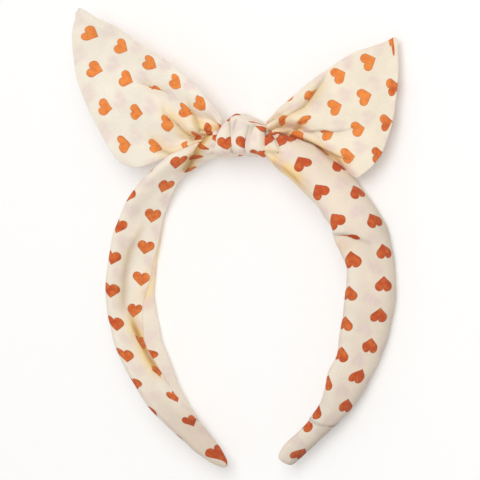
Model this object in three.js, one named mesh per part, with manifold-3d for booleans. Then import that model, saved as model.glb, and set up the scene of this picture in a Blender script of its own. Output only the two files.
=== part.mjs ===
// A heart-print headband: a padded cloth hoop that broadens down each leg, and a cloth tie knotted
// round its crown so that the two ends of the tie stand out as ears. It lies on the hoop's back edge,
// and its soft legs both lean to the same side.
// Millimetres, +Z up. The hoop lies in the XY plane, with its crown towards +Y.
import * as THREE from "three";
import { mergeVertices } from "three/addons/utils/BufferGeometryUtils.js";
import Module from "manifold-3d";

const wasm = await Module();
wasm.setup();

// Driving dimensions.
const crownRadius = 63.8; // half circle over the head, to the middle of the padding
const sideRadius = 86; // flatter curve down each leg
const sideTurn = THREE.MathUtils.degToRad(43.5); // how far each leg turns in
const tipRun = 35; // straight end of each leg
const legWidth = 25; // across the band at its broadest
const lean = THREE.MathUtils.degToRad(37); // how far the soft band leans over where it runs down a leg
const restDepth = 10; // from the hoop's middle line down to the surface that it lies on
const clothWall = 2; // the tie is two layers of cotton
const gap = 0.35; // between neighbouring pieces
const smallest = 0.02; // slivers under this are taken off a cut edge
const cornerPower = 0.76; // a power below 1 squares up a round section
const bandSides = 22;
const bandStep = 6.5;
const knotSides = 24;
const knotStep = 1.5;
const earStations = 24;
const earSegments = 18;

const quarterCrown = (crownRadius * Math.PI) / 2;
const sideRun = sideRadius * sideTurn;
const halfLength = quarterCrown + sideRun + tipRun;
const floor = -restDepth;

// The padded hoop, by run along its middle line: left tip, crown at 0, right tip.
// width and depth are across its face and through its padding, arch is how far its middle stands out
// from its edges, forward how far its middle lies towards its front edge, and out how far off the hoop.
const bandSections = [
  { run: -halfLength, width: 5, depth: 2.4, arch: 0, forward: 0, out: 0 },
  { run: -halfLength + 1.5, width: 8, depth: 3.8, arch: 0, forward: 0, out: 0 },
  { run: -194, width: 10.4, depth: 5.2, arch: 0.2, forward: 0, out: 0.6 },
  { run: -184, width: 12.8, depth: 5.8, arch: 0.5, forward: 0, out: 1 },
  { run: -165, width: 17.6, depth: 7, arch: 1, forward: 0, out: 1.5 },
  { run: -147, width: 21.4, depth: 8, arch: 1.4, forward: -0.2, out: 0.3 },
  { run: -130, width: 23.2, depth: 8.4, arch: 1.6, forward: -0.4, out: 0.4 },
  { run: -115, width: 24.2, depth: 8.6, arch: 1.6, forward: -0.6, out: 0.3 },
  { run: -82, width: legWidth, depth: 8.6, arch: 1.6, forward: -0.6, out: -1 },
  { run: -60, width: 21.4, depth: 8.4, arch: 1.4, forward: 0, out: -0.4 },
  { run: -40, width: 15.8, depth: 6.8, arch: 0.8, forward: 0.8, out: 0.4 },
  { run: -20, width: 14.4, depth: 7.2, arch: 0.4, forward: 0.6, out: 0 },
  { run: 0, width: 15, depth: 8, arch: 0, forward: 0, out: 0 },
  { run: 15, width: 16.4, depth: 10.4, arch: 0.4, forward: 0.4, out: -0.6 },
  { run: 28, width: 21, depth: 13.4, arch: 1, forward: 0.8, out: -2.2 },
  { run: 44, width: 23.6, depth: 13, arch: 1.4, forward: 0.8, out: -2.6 },
  { run: 62, width: 24.6, depth: 10.4, arch: 1.6, forward: 0.6, out: -2.2 },
  { run: 82, width: legWidth, depth: 9, arch: 1.6, forward: 0.4, out: -0.6 },
  { run: 115, width: legWidth, depth: 8.6, arch: 1.6, forward: 0.4, out: -0.5 },
  { run: 130, width: 23.4, depth: 8.4, arch: 1.6, forward: 0.4, out: -0.6 },
  { run: 147, width: 21, depth: 8, arch: 1.4, forward: 0.2, out: -0.2 },
  { run: 165, width: 17.2, depth: 7, arch: 1, forward: 0, out: 1 },
  { run: 184, width: 13, depth: 5.8, arch: 0.5, forward: 0, out: 0 },
  { run: 194, width: 11.6, depth: 5.4, arch: 0.2, forward: 0, out: -0.6 },
  { run: halfLength - 1.5, width: 9.4, depth: 4.4, arch: 0, forward: 0, out: -0.6 },
  { run: halfLength, width: 5.8, depth: 3, arch: 0, forward: 0, out: -0.6 },
];

// The knot round the crown, by run along the hoop: its reach out from, in from, in front of and behind
// the hoop's middle line. The upright turn of the tie is between the creases at -1 and 9.5.
const knotSections = [
  { run: -16, rise: 6.2, drop: 5.6, front: 9.6, back: 9.2 },
  { run: -12.5, rise: 7.8, drop: 6.2, front: 10.8, back: 10.2 },
  { run: -8, rise: 10.2, drop: 6.2, front: 12, back: 11 },
  { run: -4, rise: 11.8, drop: 6.6, front: 12.2, back: 11.6 },
  { run: -1, rise: 11.6, drop: 6.2, front: 11.2, back: 11.8 },
  { run: 1, rise: 13, drop: 6.4, front: 12.8, back: 12 },
  { run: 4.5, rise: 11.6, drop: 6.8, front: 13.6, back: 12 },
  { run: 7.5, rise: 9.8, drop: 6.6, front: 13, back: 12 },
  { run: 9.5, rise: 8.6, drop: 6, front: 11.6, back: 11.8 },
  { run: 13, rise: 9.8, drop: 6.6, front: 11.6, back: 10.8 },
  { run: 16, rise: 8.6, drop: 6.8, front: 10.4, back: 9.8 },
];

// The two ends of the tie. along runs out from the knot, and the edges are measured across that way:
// crownEdge faces the other ear and outerEdge hangs out over the leg. heading is in degrees from +X.
// A fold is a ridge or a valley that runs out of the knot at a share of the way across.
const ears = [
  {
    name: "ear_left",
    root: [-14.8, 68],
    heading: 140,
    side: 1,
    lift: 12.6,
    cup: 3,
    outline: [
      { along: -4, crownEdge: -3.5, outerEdge: 3.5 },
      { along: 1.6, crownEdge: -7.4, outerEdge: 7 },
      { along: 6, crownEdge: -9.4, outerEdge: 12.5 },
      { along: 11, crownEdge: -10.6, outerEdge: 21.4 },
      { along: 17, crownEdge: -12, outerEdge: 31.4 },
      { along: 23, crownEdge: -13, outerEdge: 37.8 },
      { along: 29.6, crownEdge: -13.2, outerEdge: 39.4 },
      { along: 38.4, crownEdge: -13, outerEdge: 36.6 },
      { along: 49, crownEdge: -11.9, outerEdge: 32.2 },
      { along: 64.7, crownEdge: -10.6, outerEdge: 23.8 },
      { along: 78, crownEdge: -7.6, outerEdge: 12.1 },
      { along: 84.5, crownEdge: -6.6, outerEdge: 4 },
      { along: 87.4, crownEdge: -6, outerEdge: -2.4 },
    ],
    folds: [
      { at: 0.1, height: 2.4, spread: 0.09, reach: 50 },
      { at: 0.3, height: -3.2, spread: 0.1, reach: 62 },
      { at: 0.5, height: 3.2, spread: 0.1, reach: 68 },
      { at: 0.72, height: -2.8, spread: 0.1, reach: 40 },
      { at: 0.92, height: 2.2, spread: 0.1, reach: 34 },
    ],
  },
  {
    name: "ear_right",
    root: [15, 66],
    heading: 25,
    side: -1,
    lift: -5,
    cup: 3,
    outline: [
      { along: -4, crownEdge: -4.4, outerEdge: 2 },
      { along: 1.9, crownEdge: -8, outerEdge: 2.2 },
      { along: 8, crownEdge: -9.6, outerEdge: 3.4 },
      { along: 16, crownEdge: -10.6, outerEdge: 12.6 },
      { along: 22, crownEdge: -11.8, outerEdge: 22.8 },
      { along: 26, crownEdge: -12.5, outerEdge: 31.4 },
      { along: 30, crownEdge: -13.2, outerEdge: 36.4 },
      { along: 36, crownEdge: -14, outerEdge: 36.2 },
      { along: 43.2, crownEdge: -14.6, outerEdge: 33.4 },
      { along: 53.4, crownEdge: -15, outerEdge: 24.6 },
      { along: 62.6, crownEdge: -13.7, outerEdge: 11.7 },
      { along: 69.8, crownEdge: -12.8, outerEdge: -1.2 },
      { along: 73.4, crownEdge: -12.8, outerEdge: -9 },
    ],
    folds: [
      { at: 0.2, height: -3, spread: 0.09, reach: 60 },
      { at: 0.4, height: 2.8, spread: 0.1, reach: 46 },
      { at: 0.6, height: -2.8, spread: 0.1, reach: 42 },
      { at: 0.82, height: 2.6, spread: 0.1, reach: 48 },
    ],
  },
];

// Each piece's finish.
const printedCotton = { color: 0xf1e9dc, roughness: 0.9, metalness: 0 };

// One column of a table at any place along it: a cubic through the rows that never overshoots them.
function column(rows, place, name, at) {
  const span = (i) => rows[i + 1][place] - rows[i][place];
  const rise = (i) => (rows[i + 1][name] - rows[i][name]) / span(i);
  const slope = (i) => {
    if (i === 0 || i === rows.length - 1) return 0;
    const before = rise(i - 1);
    const after = rise(i);
    return before * after > 0 ? (2 * before * after) / (before + after) : 0;
  };
  let i = rows.findIndex((row) => row[place] >= at) - 1;
  if (i < 0) i = at <= rows[0][place] ? 0 : rows.length - 2;
  const t = THREE.MathUtils.clamp((at - rows[i][place]) / span(i), 0, 1);
  const bend = span(i) * t * (1 - t);
  const straight = THREE.MathUtils.lerp(rows[i][name], rows[i + 1][name], t);
  return straight + bend * ((1 - t) * (slope(i) - rise(i)) - t * (slope(i + 1) - rise(i)));
}

// Evenly spaced places along a table, with both ends.
function stations(from, to, step) {
  const count = Math.round((to - from) / step);
  return Array.from({ length: count + 1 }, (_, i) => from + ((to - from) * i) / count);
}

// The hoop's middle line at a run from the crown, and the way that faces out of the hoop there.
function hoopAt(run) {
  const side = Math.sign(run);
  const far = Math.abs(run);
  const point = new THREE.Vector3();
  const out = new THREE.Vector3();
  if (far <= quarterCrown) {
    const angle = far / crownRadius;
    out.set(Math.sin(angle), Math.cos(angle), 0);
    point.copy(out).multiplyScalar(crownRadius);
  } else {
    const turn = Math.min((far - quarterCrown) / sideRadius, sideTurn);
    const past = Math.max(far - quarterCrown - sideRun, 0);
    out.set(Math.cos(turn), -Math.sin(turn), 0);
    point.set(crownRadius - sideRadius, 0, 0).addScaledVector(out, sideRadius);
    point.addScaledVector(new THREE.Vector3(-Math.sin(turn), -Math.cos(turn), 0), past);
  }
  point.x *= side;
  out.x *= side;
  return { point, out };
}

// How far the band is turned about its middle line: both legs lean towards -X, and the crown doesn't.
const leanAt = (run) => Math.atan2(Math.sin(lean) * hoopAt(run).out.x, Math.cos(lean));

// A closed loop round the hoop: shape gives the reach out of the hoop and along Z at each angle.
function ringRoundHoop(run, sides, shape) {
  const { point, out } = hoopAt(run);
  return Array.from({ length: sides }, (_, i) => {
    const { reach, z } = shape(((i + 0.5) / sides) * 2 * Math.PI);
    const place = point.clone().addScaledVector(out, reach);
    place.z = Math.max(z, floor); // the cloth lies flat on the surface
    return place;
  });
}

const squared = (x) => Math.sign(x) * Math.abs(x) ** cornerPower;

// A skin through loops of equal length. Each end is closed by joining the two sides of its loop.
function loft(rings) {
  const count = rings[0].length;
  const position = new Float32Array(rings.flat().flatMap((place) => place.toArray()));
  const index = [];
  const quad = (a, b, c, d) => index.push(a, c, b, a, d, c);
  for (let i = 0; i + 1 < rings.length; i++) {
    for (let j = 0; j < count; j++) {
      const next = (j + 1) % count;
      quad(i * count + j, i * count + next, (i + 1) * count + next, (i + 1) * count + j);
    }
  }
  const last = (rings.length - 1) * count;
  for (let j = 0; j + 1 < count / 2; j++) {
    const across = count - 1 - j;
    quad(j, across, across - 1, j + 1);
    quad(last + j, last + j + 1, last + across - 1, last + across);
  }
  const skin = new THREE.BufferGeometry();
  skin.setAttribute("position", new THREE.BufferAttribute(position, 3));
  return skin.setIndex(index);
}

// The padded hoop's skin, or one that stands off it all round.
function bandSkin(standOff = 0) {
  const value = (name, run) => column(bandSections, "run", name, run);
  const runs = stations(-halfLength, halfLength, bandStep);
  runs.splice(1, 0, -halfLength + 1.5);
  runs.splice(-1, 0, halfLength - 1.5);
  return loft(
    runs.map((run) => {
      const halfWidth = value("width", run) / 2 + standOff;
      const halfDepth = value("depth", run) / 2 + standOff;
      const arch = value("arch", run);
      const forward = value("forward", run);
      const off = value("out", run);
      const turn = leanAt(run);
      return ringRoundHoop(run, bandSides, (angle) => {
        const share = squared(Math.cos(angle));
        const across = forward + halfWidth * share;
        const through = halfDepth * squared(Math.sin(angle)) + arch * (0.5 - share * share);
        return {
          reach: off + through * Math.cos(turn) - across * Math.sin(turn),
          z: through * Math.sin(turn) + across * Math.cos(turn),
        };
      });
    }),
  );
}

// The knot's outer skin, or one that stands off it all round.
function knotSkin(standOff = 0) {
  const from = knotSections[0].run - standOff;
  const to = knotSections.at(-1).run + standOff;
  return loft(
    stations(from, to, knotStep).map((run) => {
      const value = (name) => column(knotSections, "run", name, run) + standOff;
      return ringRoundHoop(run, knotSides, (angle) => {
        const up = squared(Math.sin(angle));
        const ahead = squared(Math.cos(angle));
        return {
          reach: up * (up > 0 ? value("rise") : value("drop")),
          z: ahead * (ahead > 0 ? value("front") : value("back")),
        };
      });
    }),
  );
}

// How far an ear's cloth stands off its flat lie, at a place along it and a share of the way across.
// A fold is no sharper than the thickness of the wall allows.
function earHeight(ear, along, share, chord) {
  const length = ear.outline.at(-1).along;
  const out = Math.max(along, 0) / length;
  const cupped = ear.cup * (2 * share - 1) ** 2 * Math.sin(Math.PI * out);
  return ear.folds.reduce((height, fold) => {
    const fade = Math.max(0, 1 - along / fold.reach) ** 1.5;
    const sharpest = (fold.spread * chord) ** 2 / (1.3 * clothWall);
    const size = Math.min(Math.abs(fold.height) * fade, sharpest) * Math.sign(fold.height);
    return height + size * Math.exp(-(((share - fold.at) / fold.spread) ** 2));
  }, ear.lift * out + cupped);
}

// An ear's wall, in its own frame: X runs out of the knot.
function earSkin(ear) {
  const from = ear.outline[0].along;
  const to = ear.outline.at(-1).along;
  return loft(
    stations(from, to, (to - from) / earStations).map((along) => {
      const crownEdge = column(ear.outline, "along", "crownEdge", along);
      const outerEdge = column(ear.outline, "along", "outerEdge", along);
      const middle = stations(0, 1, 1 / earSegments).map(
        (share) =>
          new THREE.Vector2(
            ear.side * THREE.MathUtils.lerp(crownEdge, outerEdge, share),
            earHeight(ear, along, share, outerEdge - crownEdge),
          ),
      );
      const face = (half) =>
        middle.map((place, i) => {
          const before = middle[Math.max(i - 1, 0)];
          const after = middle[Math.min(i + 1, earSegments)];
          const way = after.clone().sub(before).normalize();
          const offset = Math.sign(way.x) * half;
          return new THREE.Vector3(along, place.x - offset * way.y, place.y + offset * way.x);
        });
      const loop = [...face(clothWall / 2), ...face(-clothWall / 2).reverse()];
      return ear.side > 0 ? loop : loop.reverse();
    }),
  );
}

// A closed skin as a solid that can be cut, and back.
function solidOf(skin) {
  const merged = mergeVertices(skin, 1e-4);
  const vertProperties = merged.getAttribute("position").array;
  const triVerts = new Uint32Array(merged.index.array);
  return new wasm.Manifold(new wasm.Mesh({ numProp: 3, vertProperties, triVerts }));
}

function skinOf(solid) {
  const { vertProperties, triVerts } = solid.asOriginal().simplify(smallest).getMesh();
  const skin = new THREE.BufferGeometry();
  skin.setAttribute("position", new THREE.BufferAttribute(vertProperties, 3));
  return skin.setIndex(new THREE.BufferAttribute(triVerts, 1));
}

function piece(name, skin) {
  skin.computeVertexNormals();
  const mesh = new THREE.Mesh(skin, new THREE.MeshStandardMaterial(printedCotton));
  mesh.name = name;
  return mesh;
}

// The pieces, each clear of what it meets.
const band = piece("band", bandSkin());
const bandRoom = bandSkin(gap);
const knotRoom = knotSkin(gap);
const knot = piece("knot", skinOf(solidOf(knotSkin()).subtract(solidOf(bandRoom))));

function earPiece(ear) {
  const mesh = new THREE.Mesh();
  mesh.position.set(...ear.root, 0);
  mesh.rotation.z = THREE.MathUtils.degToRad(ear.heading);
  mesh.updateMatrix();
  const toEar = mesh.matrix.clone().invert();
  const room = (skin) => solidOf(skin.clone().applyMatrix4(toEar));
  const cut = solidOf(earSkin(ear)).subtract(room(knotRoom)).subtract(room(bandRoom));
  const placed = piece(ear.name, skinOf(cut));
  placed.position.copy(mesh.position);
  placed.rotation.copy(mesh.rotation);
  return placed;
}

const pieces = new THREE.Group();
pieces.add(band, knot, ...ears.map(earPiece));

// The origin is the middle of the headband's footprint, on the surface that it lies on.
const box = new THREE.Box3().setFromObject(pieces, true);
const middle = box.getCenter(new THREE.Vector3());
pieces.position.set(-middle.x, -middle.y, -box.min.z);

const headband = new THREE.Group();
headband.add(pieces);

export default headband;
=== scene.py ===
import math

import bpy
import numpy as np
from mathutils import Matrix, Vector


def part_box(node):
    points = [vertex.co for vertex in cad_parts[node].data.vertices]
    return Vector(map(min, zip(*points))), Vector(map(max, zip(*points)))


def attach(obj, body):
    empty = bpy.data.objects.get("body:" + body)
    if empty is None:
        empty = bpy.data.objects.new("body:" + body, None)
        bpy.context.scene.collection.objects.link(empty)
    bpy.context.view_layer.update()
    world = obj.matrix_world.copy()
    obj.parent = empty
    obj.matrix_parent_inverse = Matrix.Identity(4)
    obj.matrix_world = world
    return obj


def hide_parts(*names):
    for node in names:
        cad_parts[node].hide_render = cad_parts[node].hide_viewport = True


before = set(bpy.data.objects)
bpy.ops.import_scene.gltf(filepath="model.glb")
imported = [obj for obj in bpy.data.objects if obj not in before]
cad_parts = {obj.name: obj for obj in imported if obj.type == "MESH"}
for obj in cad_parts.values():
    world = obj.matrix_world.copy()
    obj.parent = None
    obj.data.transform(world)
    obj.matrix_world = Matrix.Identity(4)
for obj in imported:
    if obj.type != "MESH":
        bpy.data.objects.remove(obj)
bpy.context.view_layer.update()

mm = 0.001  # tables and settings are in millimetres, meshes in metres

# The hoop's middle line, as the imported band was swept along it
hoop = {
    "crownRadius": 63.8,  # half circle over the head
    "sideRadius": 86,  # flatter curve down each leg
    "sideTurn": math.radians(43.5),
    "tipRun": 35,  # straight end of each leg
    "lean": math.radians(37),  # both soft legs lean over to the left
    "leftReach": 71.53,  # from the hoop's middle to the band's left side
    "tipReach": 85.78,  # to its tips
    "restDepth": 10,  # and down to the surface that it lies on
    "cornerPower": 0.76,  # below 1 squares up a round section
}
quarterCrown = hoop["crownRadius"] * math.pi / 2
sideRun = hoop["sideRadius"] * hoop["sideTurn"]
halfLength = quarterCrown + sideRun + hoop["tipRun"]
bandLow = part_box("band")[0]
hoopCentre = np.array(bandLow) / mm + (hoop["leftReach"], hoop["tipReach"], hoop["restDepth"])
print("frame loaded, hoop centre", hoopCentre.round(2))


def squared(x):
    return np.sign(x) * np.abs(x) ** hoop["cornerPower"]


def ease(x):  # 0 to 1, smooth at both ends
    x = np.clip(x, 0, 1)
    return x * x * (3 - 2 * x)


def bump(x, width):  # a soft ridge round 0
    return np.exp(-(x / width) ** 2)


def table(names, *rows):  # rows of numbers under their names
    return [dict(zip(names, row)) for row in rows]


def smooth(rows, place, name, at):  # one column of a table, as a cubic that never overshoots its rows
    x = np.array([row[place] for row in rows], float)
    y = np.array([row[name] for row in rows], float)
    span = np.diff(x)
    rise = np.diff(y) / span
    slope = np.zeros(len(x))
    even = rise[:-1] * rise[1:] > 0
    both = np.where(even, rise[:-1] + rise[1:], 1)
    slope[1:-1] = np.where(even, 2 * rise[:-1] * rise[1:] / both, 0)
    at = np.clip(at, x[0], x[-1])
    i = np.clip(np.searchsorted(x, at) - 1, 0, len(x) - 2)
    t = (at - x[i]) / span[i]
    bend = span[i] * t * (1 - t)
    straight = y[i] + (y[i + 1] - y[i]) * t
    return straight + bend * ((1 - t) * (slope[i] - rise[i]) - t * (slope[i + 1] - rise[i]))


def hoopAt(run):  # the middle line's place at a run from the crown, and the way out of the hoop
    side = np.where(run < 0, -1.0, 1.0)
    far = np.abs(run)
    turn = np.clip((far - quarterCrown) / hoop["sideRadius"], 0, hoop["sideTurn"])
    swing = np.minimum(far, quarterCrown) / hoop["crownRadius"] + turn
    past = np.maximum(far - quarterCrown - sideRun, 0)
    onCrown = far <= quarterCrown
    radius = np.where(onCrown, hoop["crownRadius"], hoop["sideRadius"])
    middle = np.where(onCrown, 0, hoop["crownRadius"] - hoop["sideRadius"])
    x = middle + radius * np.sin(swing) + past * np.cos(swing)
    y = radius * np.cos(swing) - past * np.sin(swing)
    return side * x, y, side * np.sin(swing), np.cos(swing)


def roundHoop(run, reach, z):  # millimetres round the hoop to a place in the frame
    x, y, outX, outY = hoopAt(run)
    z = np.maximum(z, -hoop["restDepth"])  # the cloth lies flat on the surface
    return np.stack([x + outX * reach, y + outY * reach, z], -1) + hoopCentre


def summed(steps):  # lengths along each row of steps, from 0
    return np.concatenate([np.zeros((len(steps), 1)), np.cumsum(steps, axis=1)], axis=1)


def slopeRound(loops):  # unit normals, facing out in their plane, of loops that end where they start
    points = loops[:, :-1]
    ahead = np.roll(points, -1, axis=1) - np.roll(points, 1, axis=1)
    normal = np.stack([ahead[..., 1], -ahead[..., 0]], -1)
    normal = normal / np.maximum(np.linalg.norm(normal, axis=-1, keepdims=True), 1e-9)
    return np.concatenate([normal, normal[:, :1]], axis=1)


def clothGrid(name, places):  # a grid primitive whose corners are taken to their places
    rows, columns = places.shape[0] - 1, places.shape[1] - 1
    bpy.ops.object.select_all(action="DESELECT")
    bpy.ops.mesh.primitive_grid_add(x_subdivisions=columns, y_subdivisions=rows, size=2)
    piece = bpy.context.object
    piece.name = name
    piece.data.name = name
    piece.data.vertices.foreach_set("co", (places * mm).astype(np.float32).ravel())
    piece.data.update()
    return piece


def printMap(piece, columns, charts):  # UVs in millimetres on the cloth: one chart up to each column
    mesh = piece.data
    mesh.uv_layers[0].name = "print"
    corner = np.zeros(len(mesh.loops), np.int32)
    mesh.loops.foreach_get("vertex_index", corner)
    row, column = corner // (columns + 1), corner % (columns + 1)
    faceColumn = np.repeat(column.reshape(-1, 4).min(axis=1), 4)
    uv = np.zeros((len(corner), 2), np.float32)
    start = 0
    for end, chart in charts:
        here = (faceColumn >= start) & (faceColumn < end)
        uv[here] = chart[row[here], column[here]]
        start = end
    mesh.uv_layers["print"].data.foreach_set("uv", uv.ravel())


def paint(piece, name, values):  # a number for each corner of the grid, read by the material
    layer = piece.data.attributes.new(name, "FLOAT", "POINT")
    layer.data.foreach_set("value", np.clip(values, 0, 1).astype(np.float32).ravel())


def closeUp(piece):  # joins the grid's edges where they meet, and faces it outwards
    bpy.ops.object.select_all(action="DESELECT")
    piece.select_set(True)
    bpy.context.view_layer.objects.active = piece
    bpy.ops.object.mode_set(mode="EDIT")
    bpy.ops.mesh.select_all(action="SELECT")
    bpy.ops.mesh.remove_doubles(threshold=1e-6)
    bpy.ops.mesh.normals_make_consistent(inside=False)
    bpy.ops.object.mode_set(mode="OBJECT")
    bpy.ops.object.shade_smooth()


def applyModifiers(piece):
    bpy.context.view_layer.objects.active = piece
    for modifier in list(piece.modifiers):
        bpy.ops.object.modifier_apply(modifier=modifier.name)


def alongPath(x, y, path):  # signed distance to a line of points, left of it positive, and share along it
    spots = np.array(path, float)
    spans = np.diff(spots, axis=0)
    lengths = np.linalg.norm(spans, axis=1)
    starts = np.concatenate([[0], np.cumsum(lengths)])
    best = np.full(x.shape, np.inf)
    side = np.zeros(x.shape)
    share = np.zeros(x.shape)
    for i, (span, length) in enumerate(zip(spans, lengths)):
        offX, offY = x - spots[i, 0], y - spots[i, 1]
        t = np.clip((offX * span[0] + offY * span[1]) / length ** 2, 0, 1)
        away = np.hypot(offX - t * span[0], offY - t * span[1])
        turn = span[0] * offY - span[1] * offX
        nearer = away < best
        best = np.where(nearer, away, best)
        side = np.where(nearer, np.where(turn < 0, -away, away), side)
        share = np.where(nearer, (starts[i] + t * length) / starts[-1], share)
    return side, share


# What a fold has where its row doesn't say: how sharp its step is, the length over which hidden cloth
# comes back, how much is hidden along and across, and its light and shade
plainFold = {"crisp": 0.9, "reach": 1000, "hidden": (0, 0), "glow": 0, "dim": 0.05, "line": 0.2}
foldLight = {"below": 0.4, "dimWidth": 0.8, "creaseBelow": 0.5, "creaseWidth": 0.7}


def foldCloth(x, y, folds):  # what folds do: relief, cloth hidden along x and y, warm light and shade
    relief, hiddenX, hiddenY, glow, shade = (np.zeros(x.shape) for _ in range(5))
    for row in folds:
        fold = {**plainFold, **row}
        path, wide, lower = fold["path"], fold["wide"], np.sign(fold["lip"])
        side, share = alongPath(x, y, path)
        begin, finish = fold["fade"]
        live = (x * path[0][0] > 0).astype(float)  # not on the far side of the knot
        live *= ease(share / begin) if begin else 1
        live *= ease((1 - share) / finish) if finish else 1
        over = ease(side / fold["crisp"] + 0.5)
        lip = fold["lip"] * over * np.exp(-np.maximum(side, 0) / wide)
        drop = fold["drop"] * (1 - over) * np.exp(-np.maximum(-side, 0) / wide)
        relief += live * (lip - drop)
        slideX, slideY = fold["hidden"]
        endX, endY = fold.get("hiddenEnd", fold["hidden"])
        under = live * over * np.exp(-np.maximum(side, 0) / fold["reach"])
        hiddenX += under * (slideX + (endX - slideX) * share)
        hiddenY += under * (slideY + (endY - slideY) * share)
        low = side + foldLight["below"] * wide * lower  # light gathers on the lower side
        glow = np.maximum(glow, live * fold["glow"] * bump(low, wide))
        # painted shade: a dark line along the crease, and dimmer cloth on its lower side
        crease = bump(side + foldLight["creaseBelow"] * lower, foldLight["creaseWidth"])
        dim = fold["dim"] * bump(low, foldLight["dimWidth"] * wide)
        shade = np.maximum(shade, live * (fold["line"] * crease + dim))
    return relief, hiddenX, hiddenY, glow, shade


swayRate = 0.43  # a wrinkle sways more slowly than it repeats


def ripples(x, y, waves):  # soft wrinkles: crossing waves of a few lengths
    total = np.zeros(np.broadcast(x, y).shape)
    for wave in waves:
        turn = 2 * math.pi / wave["length"]
        angle = wave["angle"]
        phase = x * math.cos(angle) + y * math.sin(angle)
        sway = wave["sway"] * np.sin((y * math.cos(angle) - x * math.sin(angle)) * turn * swayRate)
        total = total + wave["size"] * np.sin((phase + sway) * turn + wave["start"])
    return total


# Camera at the photograph's angle: off the hoop's axis towards the right leg, with a slight roll
camera = {
    "tilt": math.radians(28),
    "roll": math.radians(1.7),
    "distance": 2200,
    "frameWidth": 220.8,  # across the picture, at the hoop
    "aimRight": -3.96,  # the picture's middle from the hoop's middle
    "aimUp": 18.4,
    "sensor": 36,
    "clipEnd": 20,  # metres
    "photoPixels": 480,  # across the photograph, and down it
}


def viewWays():  # the picture's right and up, the way back to the camera, and the place in its middle
    tilt, roll = camera["tilt"], camera["roll"]
    back = Vector((math.sin(tilt), 0, math.cos(tilt)))
    level = Vector((math.cos(tilt), 0, -math.sin(tilt)))
    right = level * math.cos(roll) - Vector((0, 1, 0)) * math.sin(roll)
    up = back.cross(right)
    aim = Vector(hoopCentre) + right * camera["aimRight"] + up * camera["aimUp"]
    return right, up, back, aim


def makeCamera():
    right, up, back, aim = viewWays()
    place = (aim + back * camera["distance"]) * mm
    bpy.ops.object.camera_add(location=place)
    made = bpy.context.object
    made.matrix_world = Matrix.Translation(place) @ Matrix((right, up, back)).transposed().to_4x4()
    made.data.sensor_width = camera["sensor"]
    made.data.lens = camera["sensor"] * camera["distance"] / camera["frameWidth"]
    made.data.clip_end = camera["clipEnd"]
    bpy.context.scene.camera = made


def inPhotograph(places):  # pixels right and down in the photograph, for places in millimetres
    right, up, back, aim = (np.array(way) for way in viewWays())
    off = places - aim
    pixels = camera["photoPixels"]
    scale = pixels / camera["frameWidth"] / (1 - off @ back / camera["distance"])
    return pixels / 2 + off @ right * scale, pixels / 2 - off @ up * scale


makeCamera()
print("camera placed")


# Printed cotton: cream plain weave with orange-red hearts in a half-drop repeat
cotton = {
    "repeat": 15.4,  # between hearts along a column, and between columns
    "lobeRadius": 2.2,
    "lobeOut": 1.95,  # from the heart's middle line to a lobe's middle
    "lobeUp": 0.75,
    "tipDown": 3.75,
    "edge": 0.22,  # softness of the printed edge
    "rim": 0.55,  # width of the darker rim
    "rimTint": (0.72, 0.66, 0.66),
    "cream": (0.87, 0.74, 0.60),
    "creamLitThrough": (0.93, 0.85, 0.72),
    "warm": (0.97, 0.72, 0.36),  # light that has been through cloth, in folds
    "amber": (0.74, 0.40, 0.12),  # and through more of it
    "heart": (0.58, 0.092, 0.026),
    "heartLitThrough": (0.93, 0.295, 0.066),  # where light comes through it
    "ghost": (0.80, 0.60, 0.60),  # the layer behind showing through
    "ghostShift": (7.2, 4.6),
    "ghostSoft": 1.6,
    "ghostShare": 0.8,
    "mottle": {"Scale": 38.0, "Detail": 3.0},  # unevenness, from broad to fine
    "patch": {"Scale": 110.0, "Detail": 2.0},
    "fleck": {"Scale": 420.0, "Detail": 2.0},
    "slub": {"Scale": 900.0, "Detail": 2.0},
    "inkFleck": 1.5,  # how uneven the ink is
    "plain": 0.76,  # brightness of the cloth, and what each unevenness adds
    "mottled": 0.2,
    "patched": 0.16,
    "slubbed": 0.1,
    "thread": 0.42,
    "threadSlub": 0.8,
    "weave": {"Strength": 0.22, "Distance": 0.00012},
    "finish": {"Roughness": 0.88, "Specular IOR Level": 0.25, "Sheen Weight": 0.08, "Sheen Roughness": 0.5},
}


class Wire:  # a shader socket that works in sums
    def __init__(self, tree, socket):
        self.tree = tree
        self.socket = socket

    def add(self, kind, settings=None, inputs=None, output=0):
        node = self.tree.nodes.new(kind)
        for name, value in (settings or {}).items():
            setattr(node, name, value)
        for name, value in (inputs or {}).items():
            if isinstance(value, Wire):
                self.tree.links.new(value.socket, node.inputs[name])
            else:
                node.inputs[name].default_value = value
        return Wire(self.tree, node.outputs[output])

    def maths(self, operation, *values):
        return self.add("ShaderNodeMath", {"operation": operation}, dict(enumerate(values)))

    def mix(self, factor, a, b, blend="MIX"):  # colours
        settings = {"data_type": "RGBA", "blend_type": blend}
        return self.add("ShaderNodeMix", settings, {0: factor, 6: a, 7: b}, 2)

    def __add__(self, other):
        return self.maths("ADD", self, other)

    def __radd__(self, other):
        return self.maths("ADD", other, self)

    def __sub__(self, other):
        return self.maths("SUBTRACT", self, other)

    def __rsub__(self, other):
        return self.maths("SUBTRACT", other, self)

    def __mul__(self, other):
        return self.maths("MULTIPLY", self, other)

    def __rmul__(self, other):
        return self.maths("MULTIPLY", other, self)

    def __truediv__(self, other):
        return self.maths("DIVIDE", self, other)

    def __abs__(self):
        return self.maths("ABSOLUTE", self)


def startMaterial(name):
    material = bpy.data.materials.new(name)
    material.use_nodes = True
    tree = material.node_tree
    shader = tree.nodes["Principled BSDF"]
    return material, tree, shader


def opaque(colour):
    return (*colour, 1)


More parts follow.
